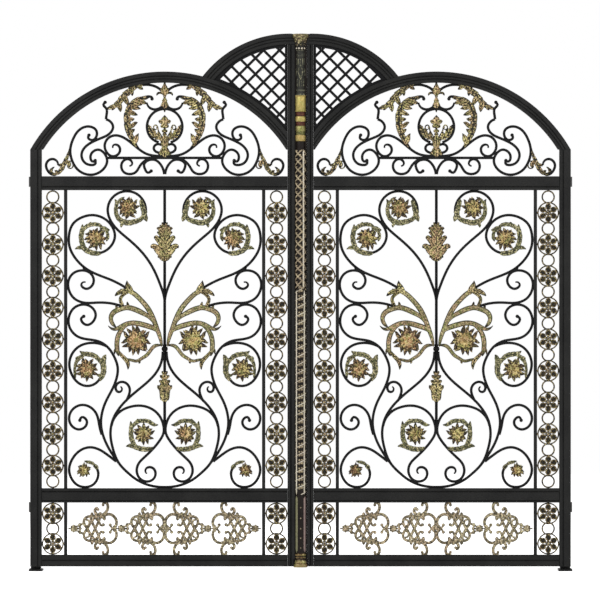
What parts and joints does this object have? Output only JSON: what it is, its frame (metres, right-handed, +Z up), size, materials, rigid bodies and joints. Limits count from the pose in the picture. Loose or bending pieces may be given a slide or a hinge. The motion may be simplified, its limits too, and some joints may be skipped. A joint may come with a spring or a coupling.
{
  "type": "driveway gate",
  "caption": "Arched double driveway gate: hinged leaves of scrolled bars, ring chains and cast rosettes in banded frames, on slim anchored posts.",
  "frame": {"origin": "centre of the left post's foot flange, on its underside, at ground level", "axes": "+X along the closed gate to the right post, +Y from the front to the back, +Z up"},
  "size_m": [3.264, 0.246, 3.226],
  "materials": {
    "frame": "semi-gloss charcoal black paint, softly embossed",
    "scroll_iron": "semi-gloss black paint on forged bar",
    "ring_castings": "black paint with old gold rubbed on the edges",
    "gilt_castings": "old gold rubbed over black",
    "column_gold": "bright gold paint",
    "hinge_steel": "black paint"
  },
  "bodies": {
    "posts": {"left_post": "frame", "left_foot_flange": "frame", "left_hinge_pins": "hinge_steel", "right_post": "frame", "right_foot_flange": "frame", "right_hinge_pins": "hinge_steel"},
    "left_leaf": {"left_outer_stile": "frame", "left_meeting_stile": "frame", "left_bottom_rail": "frame", "left_lower_rail": "frame", "left_transom_rail": "frame", "left_arch": "frame", "left_crest_arch": "frame", "left_crest_lattice": "scroll_iron", "left_mullions": "frame", "left_ring_chains": "ring_castings", "left_tympanum_scrolls": "scroll_iron", "left_tympanum_leaves": "gilt_castings", "left_panel_scrolls": "scroll_iron", "left_panel_leaves": "gilt_castings", "left_rosettes": "gilt_castings", "left_filigree": "ring_castings", "left_hinge_eyes": "hinge_steel", "column_capital": "gilt_castings", "column_relief": "scroll_iron", "column_collar": "column_gold", "column_sleeve": "ring_castings", "column_shaft": "scroll_iron", "column_foot": "gilt_castings"},
    "right_leaf": {"right_outer_stile": "frame", "right_meeting_stile": "frame", "right_bottom_rail": "frame", "right_lower_rail": "frame", "right_transom_rail": "frame", "right_arch": "frame", "right_crest_arch": "frame", "right_crest_lattice": "scroll_iron", "right_mullions": "frame", "right_ring_chains": "ring_castings", "right_tympanum_scrolls": "scroll_iron", "right_tympanum_leaves": "gilt_castings", "right_panel_scrolls": "scroll_iron", "right_panel_leaves": "gilt_castings", "right_rosettes": "gilt_castings", "right_filigree": "ring_castings", "right_hinge_eyes": "hinge_steel"}
  },
  "joints": [
    {"name": "left_leaf_hinge", "type": "hinge", "parent": "posts", "child": "left_leaf", "pos_m": [-0.03, -0.065, 0], "axis": [0, 0, -1], "range_deg": [0, 95]},
    {"name": "right_leaf_hinge", "type": "hinge", "parent": "posts", "child": "right_leaf", "pos_m": [3.212, -0.065, 0], "axis": [0, 0, 1], "range_deg": [0, 95]}
  ]
}
